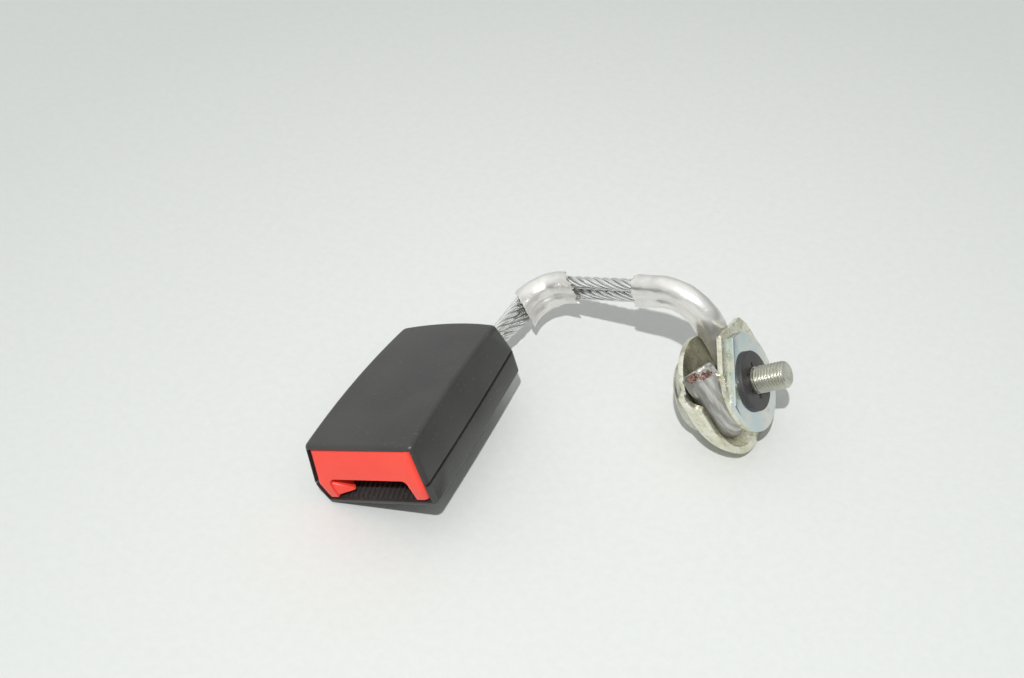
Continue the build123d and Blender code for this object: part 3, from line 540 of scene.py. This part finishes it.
def halfDepth(across, lobe, gap, waist, flat, square):     # two lobes and a waist, or squared
    corner = flat * sectionLook["cornerShare"]
    into = max(0.0, abs(across) - (lobe + gap - corner))
    boxDepth = flat - corner + max(0.0, corner * corner - into * into) ** 0.5
    depth = 0.0
    for side in (-1, 1):
        off = across - side * gap
        depth = max(depth, (max(0.0, lobe * lobe - off * off)) ** 0.5)
    if abs(across) < gap:
        depth = smoothMost(depth, waist, sectionLook["waistBlend"])
    lobeDepth = -smoothMost(-depth, -flat, sectionLook["flatBlend"])
    return lobeDepth + (boxDepth - lobeDepth) * square


def cutShift(across, depth, at, total, look):    # how ragged and slanted ends differ from square
    shift, rags = 0.0, cutLook["ragsPerMetre"]
    for endAt, (reach, slant, tilt) in ((0.0, look["startCut"]), (total, look["endCut"])):
        away = abs(at - endAt)
        near = max(0.0, 1 - away / cutLook["ragLength"])
        where = Vector((across * rags, depth * rags, endAt * cutLook["ragChange"]))
        shift += near * reach * noise.noise(where)
        near = max(0.0, 1 - away / cutLook["slantLength"])
        shift += near * (slant * across + tilt * depth)
    return shift


def joinRings(work, first, second):
    for part in range(len(first)):
        after = (part + 1) % len(first)
        work.faces.new((first[part], first[after], second[after], second[part]))


def closeEnd(work, ring, inward, look, flow):    # a rim with a shallow recess inside it
    middle = sum((vert.co for vert in ring), Vector()) / len(ring)
    last = ring
    for depth in (0.0, look["recess"]):
        following = []
        for vert in ring:
            toMiddle = middle - vert.co
            drawn = min(look["rim"], toMiddle.length * look["rimShare"])
            new = work.verts.new(vert.co + toMiddle.normalized() * drawn + inward * depth)
            new[flow] = vert[flow]
            following.append(new)
        joinRings(work, last, following)
        last = following
    work.faces.new(last)


def pressedSleeve(name, look, material):
    path = roundedPath(look["corners"], look["step"])
    around = look["around"]
    stack = Vector(look["stack"]).normalized()
    work = bmesh.new()
    flow = work.verts.layers.float_vector.new("flow")
    total = sum((after - before).length for before, after in zip(path, path[1:]))
    rings, at, turned, lastAhead = [], 0.0, 0.0, None
    for index, place in enumerate(path):
        ahead = path[min(index + 1, len(path) - 1)] - path[max(index - 1, 0)]
        ahead = ahead.normalized()
        if index:
            at += (place - path[index - 1]).length
            stack = lastAhead.rotation_difference(ahead) @ stack
        lobe, gap, waist, flat, turn, square = blended(look["stops"], at)
        if turn != turned:
            stack = Quaternion(ahead, turn - turned) @ stack
            turned = turn
        stack = (stack - ahead * stack.dot(ahead)).normalized()
        side = ahead.cross(stack)
        lastAhead = ahead
        ring = []
        for part in range(around):
            angle = 2 * pi * (part + 0.5) / around
            across = (lobe + gap) * cos(angle)
            depth = halfDepth(across, lobe, gap, waist, flat, square)
            depth *= 1 if sin(angle) > 0 else -1
            dent = noise.noise(Vector((across, depth, at)) / look["dentSize"]) * look["dentDepth"]
            swell = 1 - dent / lobe
            shift = cutShift(across, depth, at, total, look)
            vert = work.verts.new(
                place + stack * across * swell + side * depth * swell + ahead * shift
            )
            vert[flow] = (across, depth, at)
            ring.append(vert)
        rings.append(ring)
    for first, second in zip(rings, rings[1:]):
        joinRings(work, first, second)
    closeEnd(work, rings[0], (path[1] - path[0]).normalized(), look, flow)
    closeEnd(work, rings[-1], (path[-2] - path[-1]).normalized(), look, flow)
    bmesh.ops.recalc_face_normals(work, faces=work.faces)
    return meshFrom(work, name, material, look["shadeAngle"])


sleeveFinishLook = {                      # drawn streaks, scuffs, and painted shade on the hook inside the cup, deepest on one side
    "metallic": 0.8, "roughness": 0.33, "roughnessSpread": 0.25,
    "colour": (0.88, 0.87, 0.85), "streakColour": (0.80, 0.785, 0.76), "streakSize": 0.0011,
    "streakDepth": 0.00010, "streakStretch": (1.0, 1.0, 0.12),
    "cloudColour": (0.78, 0.76, 0.72), "cloudSize": 0.006, "cloudAmount": 0.5,
    "scuffColour": (0.60, 0.57, 0.53), "scuffAmount": 0.4, "scuffSize": 0.0016,
    "scuffRange": (0.56, 0.72), "scuffRoughness": 0.15, "scuffLift": 0.4,
    # painted shade: the hook inside the cup and under the plate is darkened in streaks, and one
    # side of it darker still
    "hookShadeFrom": (0.050, 0.060), "hookShadeStreaks": (0.4, 0.6),
    "hookShadeTones": ((0.40, 0.39, 0.37), (0.70, 0.69, 0.66)),
    "shadedFaceFrom": (0.074, 0.090), "shadedFaceAcross": (0.0005, -0.0025), "shadedFaceWaver": 0.003,
    "shadedFaceColour": (0.22, 0.21, 0.19), "shadedFaceAmount": 0.8,
}


def sleeveFinish(look):
    material, tree, shader, place = newFinish("swagedSleeve", Metallic=look["metallic"])
    flow = tree.recalled("flow", "Vector")
    across = tree.split(flow)
    run = across.output("Z")
    stretched = tree.vectorMaths("MULTIPLY", {0: flow, 1: look["streakStretch"]})
    streaks = tree.noise(stretched, look["streakSize"], detail=4.0, roughness=0.6)
    cloud = tree.between(tree.noise(place, look["cloudSize"], detail=3.0), *midTones)
    scuffs = tree.noise(place, look["scuffSize"], detail=4.0, roughness=0.7)
    scuffs = tree.between(scuffs, *look["scuffRange"])
    colour = tree.mix(tree.between(streaks, *midTones), look["colour"], look["streakColour"])
    colour = tree.mix(cloud * look["cloudAmount"], colour, look["cloudColour"])
    colour = tree.mix(scuffs * look["scuffAmount"], colour, look["scuffColour"])
    # painted shade on the hook where it runs down inside the cup under the plate
    paintedHookShade = tree.mix(tree.between(streaks, *look["hookShadeStreaks"]), *look["hookShadeTones"])
    colour = tree.mix(tree.between(run, *look["hookShadeFrom"]), colour, paintedHookShade)
    # painted shade on one side of the hook, with a wavering edge
    oneSide = tree.between(across + streaks * look["shadedFaceWaver"], *look["shadedFaceAcross"])
    paintedFaceShade = tree.between(run, *look["shadedFaceFrom"]) * oneSide
    colour = tree.mix(paintedFaceShade * look["shadedFaceAmount"], colour, look["shadedFaceColour"])
    roughness = look["roughness"] + (streaks - 0.5) * look["roughnessSpread"]
    roughness = roughness + scuffs * look["scuffRoughness"]
    relief = streaks + scuffs * look["scuffLift"]
    tree.feed(shader.inputs["Base Color"], colour)
    tree.feed(shader.inputs["Roughness"], roughness)
    tree.feed(shader.inputs["Normal"], tree.bump(relief, look["streakDepth"]))
    return material


sleeveCommon = {
    "step": 0.0006, "around": 72, "dentSize": 0.004, "dentDepth": 0.00018, "rimShare": 0.6,
    "shadeAngle": 50,
}
elbowSleeveLook = {
    **sleeveCommon,
    "corners": [
        ((-0.035092, 0.044954, 0.017096), 0.0), ((-0.034609, 0.059582, 0.017595), 0.0116),
        ((-0.020664, 0.055910, 0.024977), 0.0),
    ],
    "stack": (-0.45433, 0.06129, 0.88872),     # from one lobe of the section to the other
    "stops": [                            # along: lobe, gap, waist, flat, turn, squareness
        (0.0, (0.0046, 0.0029, 0.0038, 0.0052, 0.0, 0.0)),
        (0.011, (0.0045, 0.0027, 0.0036, 0.0050, 0.0, 0.0)),
        (0.024, (0.0041, 0.0026, 0.0035, 0.0040, 0.0, 0.0)),
    ],
    "rim": 0.0008, "recess": 0.0012,
    "startCut": (0.0006, 0.0, -1.02),     # raggedness, slant across the section and in its depth
    "endCut": (0.0022, 0.14, 1.17),
}
anchorSleeveLook = {
    **sleeveCommon,
    "corners": [
        ((0.009118, 0.048068, 0.040743), 0.0), ((0.030896, 0.042333, 0.052271), 0.014),
        ((0.0556, 0.04506, 0.01203), 0.01155), ((0.05817, 0.0218, 0.01203), 0.01155),
        ((0.0437, 0.0202, 0.0356), 0.0),
    ],
    "stack": (-0.48084, -0.06881, 0.8741),
    "stops": [
        (0.0, (0.0041, 0.0026, 0.0037, 0.0038, 0.0, 0.0)),
        (0.010, (0.0041, 0.0026, 0.0036, 0.0038, 0.0, 0.0)),
        (0.016, (0.00415, 0.0026, 0.0033, 0.0050, 0.0, 0.0)),
        (0.0355, (0.00415, 0.0026, 0.0034, 0.0050, 0.0, 0.0)),
        (0.0415, (0.0044, 0.0018, 0.0042, 0.0046, 0.309, 0.0)),
        (0.050, (0.0046, 0.0016, 0.0046, 0.0048, 0.309, 0.6)),
        (0.058, (0.0046, 0.0016, 0.0046, 0.0048, 0.309, 1.0)),
    ],
    "rim": 0.0011, "recess": 0.0004,
    "startCut": (0.0012, 0.30, 0.0), "endCut": (0.0, 0.0, 0.0),
}
sleeveMaterial = sleeveFinish(sleeveFinishLook)
for name, look, node in (
    ("elbowSleeve", elbowSleeveLook, "elbow_sleeve"),
    ("anchorSleeve", anchorSleeveLook, "anchor_sleeve"),
):
    newPiece(name, pressedSleeve(name, look, sleeveMaterial), "buckle", (node,))
print("stage 4: sleeves pressed")


# Coil springs, each wound between its two ends along its axis.
springLooks = {                           # outside radius, wire, and the ends along the axis
    "button_springs": {
        "across": (-0.0086, 0.0086), "axis": "Y", "other": 0.0181, "start": 0.004, "end": 0.030,
        "radius": 0.0021, "wire": 0.0006, "turns": 11, "joint": "button_press", "keep": 0.80,
    },
    "slider_spring": {
        "across": (0.0,), "axis": "Y", "other": 0.015, "start": 0.036, "end": 0.046,
        "radius": 0.001, "wire": 0.00035, "turns": 9, "joint": "lock_slide", "keep": 0.5,
    },
    "latch_spring": {
        "across": (-0.007, 0.007), "axis": "Z", "other": 0.04235, "start": 0.0126, "end": 0.0164,
        "radius": 0.001, "wire": 0.00035, "turns": 5, "joint": "latch_pivot", "keep": 0.845,
    },
    "ejector_spring": {
        "across": (0.0,), "axis": "Y", "other": 0.005, "start": 0.0325, "end": 0.046,
        "radius": 0.0015, "wire": 0.0005, "turns": 8, "joint": "ejector_slide", "keep": 0.26,
    },
}
coilLook = {"pointsPerTurn": 20, "wireSides": 8}


def coilTree(look):                       # a spiral along Z
    group, tree, given = newGroup("coil", {
        "Turns": "Float", "Radius": "Float", "Length": "Float", "Wire": "Float",
        "Material": "Material",
    })
    spiral = tree.node("GeometryNodeCurveSpiral", {}, {
        "Resolution": look["pointsPerTurn"], "Rotations": given["Turns"],
        "Start Radius": given["Radius"], "End Radius": given["Radius"], "Height": given["Length"],
    })
    wire = tree.node(
        "GeometryNodeCurvePrimitiveCircle", {},
        {"Resolution": look["wireSides"], "Radius": given["Wire"] * 0.5},
    )
    solid = tree.node(
        "GeometryNodeCurveToMesh", {}, {"Curve": spiral, "Profile Curve": wire, "Fill Caps": True}
    )
    closeGroup(tree, solid, given["Material"])
    return group


def springPlace(look, across, along):     # in the buckle's own frame
    if look["axis"] == "Y":
        return Vector((across, along, look["other"]))
    return Vector((across, look["other"], along))


def coilMesh(look, group):
    work = bmesh.new()
    wire = look["wire"]
    turn = Matrix.Rotation(radians(-90), 4, "X") if look["axis"] == "Y" else Matrix()
    for across in look["across"]:
        source = bpy.data.objects.new("coil", bpy.data.meshes.new("coil"))
        scene.collection.objects.link(source)
        addModifier(source, group, {
            "Turns": float(look["turns"]), "Radius": look["radius"] - wire / 2,
            "Length": look["end"] - look["start"] - wire, "Wire": wire, "Material": springSteel,
        })
        where = springPlace(look, across, look["start"] + wire / 2)
        work.from_mesh(plainMesh(source, buckleAt @ Matrix.Translation(where) @ turn))
    return meshFrom(work, "coils", springSteel)


coilGroup = coilTree(coilLook)
for node, look in springLooks.items():
    coils = newPiece(node + "Coils", coilMesh(look, coilGroup), "buckle", (node,))
    held = springPlace(look, 0.0, look["end"])
    axis = buckleAt.to_3x3() @ Vector((0.0, 1.0, 0.0) if look["axis"] == "Y" else (0.0, 0.0, 1.0))
    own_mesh(coils)
print("stage 5: springs wound")


# Anchor bolt: the shank's free end is cut with a thread.
boltShape = {                             # the thread runs from start to tip along the bolt
    "start": 0.02065, "tip": 0.03305, "radius": 0.005, "pitch": 0.00125, "depth": 0.0006,
    "crestRange": (0.12, 0.80), "runOut": 0.0015, "chamfer": 0.0009, "edge": 0.0004,
    "pointsAlong": 200, "pointsAround": 61, "joinWithin": 0.000005, "overlap": 0.0001,
    "shadeAngle": 40,
}


def threadTree(look):                     # a grid rolled round the bolt; its far end closes the tip
    group, tree, given = newGroup("thread", {
        "Length": "Float", "Radius": "Float", "Pitch": "Float", "Depth": "Float",
        "Chamfer": "Float", "Material": "Material",
    })
    span = given["Length"] + given["Radius"] - given["Chamfer"]
    grid = tree.node("GeometryNodeMeshGrid", {}, {
        "Size X": span, "Size Y": 2 * pi, "Vertices X": look["pointsAlong"],
        "Vertices Y": look["pointsAround"],
    })
    parts = tree.split(tree.node("GeometryNodeInputPosition"))
    run = parts + span * 0.5
    angle = parts.output("Y")
    turn = run / given["Pitch"] - angle / (2 * pi)
    wave = turn.maths("PINGPONG", turn, 0.5) * 2.0
    crest = tree.between(wave, *look["crestRange"])
    fade = tree.between(run, 0.0, look["runOut"])
    cut = (1.0 - crest * fade) * given["Depth"]
    radius = given["Radius"] - cut
    taper = given["Radius"] + given["Length"] - given["Chamfer"] - run
    radius = radius.maths("MINIMUM", radius, taper)
    radius = radius.maths("MAXIMUM", radius, 0.0)
    height = run.maths("MINIMUM", run, given["Length"])
    place = tree.node("ShaderNodeCombineXYZ", {}, {
        0: radius * angle.maths("COSINE", angle), 1: radius * angle.maths("SINE", angle), 2: height,
    })
    rolled = tree.node("GeometryNodeSetPosition", {}, {"Geometry": grid, "Position": place})
    rolled = tree.node(
        "GeometryNodeMergeByDistance", {}, {"Geometry": rolled, "Distance": look["joinWithin"]}
    )
    closeGroup(tree, rolled, given["Material"])
    return group


def threadedBolt(look):
    source = bpy.data.objects.new("thread", bpy.data.meshes.new("thread"))
    scene.collection.objects.link(source)
    addModifier(source, threadTree(look), {
        "Length": look["tip"] - look["start"], "Radius": look["radius"], "Pitch": look["pitch"],
        "Depth": look["depth"], "Chamfer": look["chamfer"], "Material": boltSteel,
    })
    thread = plainMesh(source, anchorAt @ Matrix.Translation((0, 0, look["start"])))
    work = roundedCopy("anchor_bolt", look["edge"], edgeLook)
    back = anchorAt.inverted()
    keptTo = look["start"] + look["overlap"]
    free = [f for f in work.faces if (back @ f.calc_center_median()).z > keptTo]
    bmesh.ops.delete(work, geom=free, context="FACES")
    work.from_mesh(thread)
    return meshFrom(work, "threadedBolt", boltSteel, look["shadeAngle"])


newPiece("threadedBolt", threadedBolt(boltShape), "bolt", ("anchor_bolt",))
print("stage 6: bolt threaded")


# Rounded edges on the covers, the button and the pressed steel, each with its width.
for name, body, slot, width in (
    ("upper_cover", "buckle", "housing_plastic", 0.0006),
    ("lower_cover", "buckle", "housing_plastic", 0.0004),
    ("press_button", "button", "button_plastic", 0.0004),
    ("anchor_cup", "buckle", "zinc_yellow", 0.0003),
    ("anchor_front_plate", "buckle", "zinc_yellow", 0.0003),
    ("spacer_washer", "buckle", "zinc_blue", 0.00035),
    ("retaining_washer", "bolt", "fibre_brown", 0.0003),
):
    softened(name, body, width)

funnelLook = {                            # a slope from each leg's inner side, deep on the left leg
    "wall": 0.0190, "frontY": -0.0025, "rearY": 0.009, "lowZ": 0.0033, "rearLowZ": 0.0064,
    "topZ": 0.0106, "tips": ((-1, (0.0090, 0.0008, 0.0044)), (1, (0.0152, 0.0040, 0.0054))),
    "edge": 0.0008, "segments": 3, "profile": 0.5, "flatAngle": 1,
}


def funnelWedge(side, tip, look):
    wall, frontY, rearY, topZ = (look[key] for key in ("wall", "frontY", "rearY", "topZ"))
    wedge = bmesh.new()
    for x, y, z in (
        (wall, frontY, topZ), (wall, frontY, look["lowZ"]), tip,
        (wall, rearY, look["rearLowZ"]), (wall, rearY, topZ),
    ):
        wedge.verts.new((side * x, y, z))
    bmesh.ops.convex_hull(wedge, input=wedge.verts)
    bmesh.ops.dissolve_limit(
        wedge, angle_limit=radians(look["flatAngle"]), verts=wedge.verts, edges=wedge.edges
    )
    bmesh.ops.bevel(
        wedge, geom=list(wedge.edges), offset=look["edge"], offset_type="OFFSET",
        segments=look["segments"], profile=look["profile"], clamp_overlap=True, affect="EDGES",
    )
    wedge.transform(buckleAt)
    bmesh.ops.recalc_face_normals(wedge, faces=wedge.faces)
    part = bpy.data.meshes.new("funnel")
    wedge.to_mesh(part)
    wedge.free()
    return part


def addFunnels(piece, look):
    work = bmesh.new()
    work.from_mesh(piece.data)
    for side, tip in look["tips"]:
        work.from_mesh(funnelWedge(side, tip, look))
    work.to_mesh(piece.data)
    work.free()
    piece.data.shade_smooth()
    piece.data.set_sharp_from_angle(angle=radians(edgeLook["shadeAngle"]))


addFunnels(bpy.data.objects["press_buttonSoft"], funnelLook)
print("stage 7: edges rounded")


# Floor, light and camera.
floorLook = {                             # painted shade: a little darker away from its middle, as the light falls off
    "colour": (0.775, 0.79, 0.77), "pale": (0.805, 0.82, 0.80), "grain": 0.0035, "halfSize": 3.0,
    "falloffShadeColour": (0.70, 0.72, 0.70), "falloffShadePale": (0.72, 0.74, 0.72), "middle": (-0.02, 0.07, 0.0),
    "falloffShadeFrom": (0.06, 0.27), "roughness": 0.6, "shine": 0.1,
}
lightLook = {                             # the sky's strength as light, and as it is seen
    "place": (0.225, -0.680, 1.114), "power": 48.0, "size": 0.014, "skyColour": (0.98, 1.0, 0.985),
    "overhead": 0.62, "horizon": 0.18, "seenOverhead": 1.0, "seenHorizon": 0.36, "fullAt": 0.9,
    "sideShade": 0.28, "least": 0.05,
}
cameraLook = {
    "place": (0.161565, -0.397538, 0.459253), "forward": (-0.302, 0.661, -0.687),
    "lens": 59.8, "sensorWidth": 36.0, "clipStart": 0.01,
}


def makeFloor(look):
    half = look["halfSize"]
    corners = [(-half, -half, 0), (half, -half, 0), (half, half, 0), (-half, half, 0)]
    mesh = bpy.data.meshes.new("floor")
    mesh.from_pydata(corners, [], [(0, 1, 2, 3)])
    floor = bpy.data.objects.new("floor", mesh)
    scene.collection.objects.link(floor)
    material, tree, shader, place = newFinish(
        "floorPaint", Roughness=look["roughness"], Specular_IOR_Level=look["shine"]
    )
    grain = tree.noise(place, look["grain"], detail=4.0, roughness=0.7)
    grain = tree.between(grain, *midTones)
    away = tree.vectorMaths("DISTANCE", {0: place, 1: look["middle"]}, output=1)
    middle = tree.mix(grain, look["colour"], look["pale"])
    # painted shade towards the floor's edges, where the light falls off
    edge = tree.mix(grain, look["falloffShadeColour"], look["falloffShadePale"])
    colour = tree.mix(tree.between(away, *look["falloffShadeFrom"]), middle, edge)
    tree.feed(shader.inputs["Base Color"], colour)
    mesh.materials.append(material)


def makeLight(look):
    bulb = bpy.data.lights.new("keyLight", "POINT")
    bulb.energy = look["power"]
    bulb.shadow_soft_size = look["size"]
    lamp = bpy.data.objects.new("keyLight", bulb)
    scene.collection.objects.link(lamp)
    lamp.location = look["place"]
    world = bpy.data.worlds.new("studio")
    scene.world = world
    world.use_nodes = True
    tree = Tree(world.node_tree)
    rays = tree.node("ShaderNodeLightPath")
    seen = rays.output("Is Camera Ray")
    for kind in ("Is Glossy Ray", "Is Transmission Ray"):
        seen = seen.maths("MAXIMUM", seen, rays.output(kind))
    parts = tree.split(tree.node("ShaderNodeTexCoord", output="Generated"))
    lift = tree.between(parts.output("Z"), 0.0, look["fullAt"])
    lit = lift * (look["overhead"] - look["horizon"]) + look["horizon"]
    shown = lift * (look["seenOverhead"] - look["seenHorizon"]) + look["seenHorizon"]
    strength = lit + seen * (shown - lit) - parts * look["sideShade"]
    strength = strength.maths("MAXIMUM", strength, look["least"])
    back = world.node_tree.nodes["Background"]
    back.inputs["Color"].default_value = (*look["skyColour"], 1.0)
    tree.feed(back.inputs["Strength"], strength)


def makeCamera(look):
    lens = bpy.data.cameras.new("camera")
    lens.lens = look["lens"]
    lens.sensor_width = look["sensorWidth"]
    lens.clip_start = look["clipStart"]
    camera = bpy.data.objects.new("camera", lens)
    scene.collection.objects.link(camera)
    forward = Vector(look["forward"]).normalized()
    right = forward.cross(Vector((0, 0, 1))).normalized()
    up = right.cross(forward)
    turn = Matrix((right, up, -forward)).transposed().to_4x4()
    camera.matrix_world = Matrix.Translation(look["place"]) @ turn
    scene.camera = camera


makeFloor(floorLook)
makeLight(lightLook)
makeCamera(cameraLook)
scene.view_settings.view_transform = "Standard"
print("stage 8: floor, light and camera set")
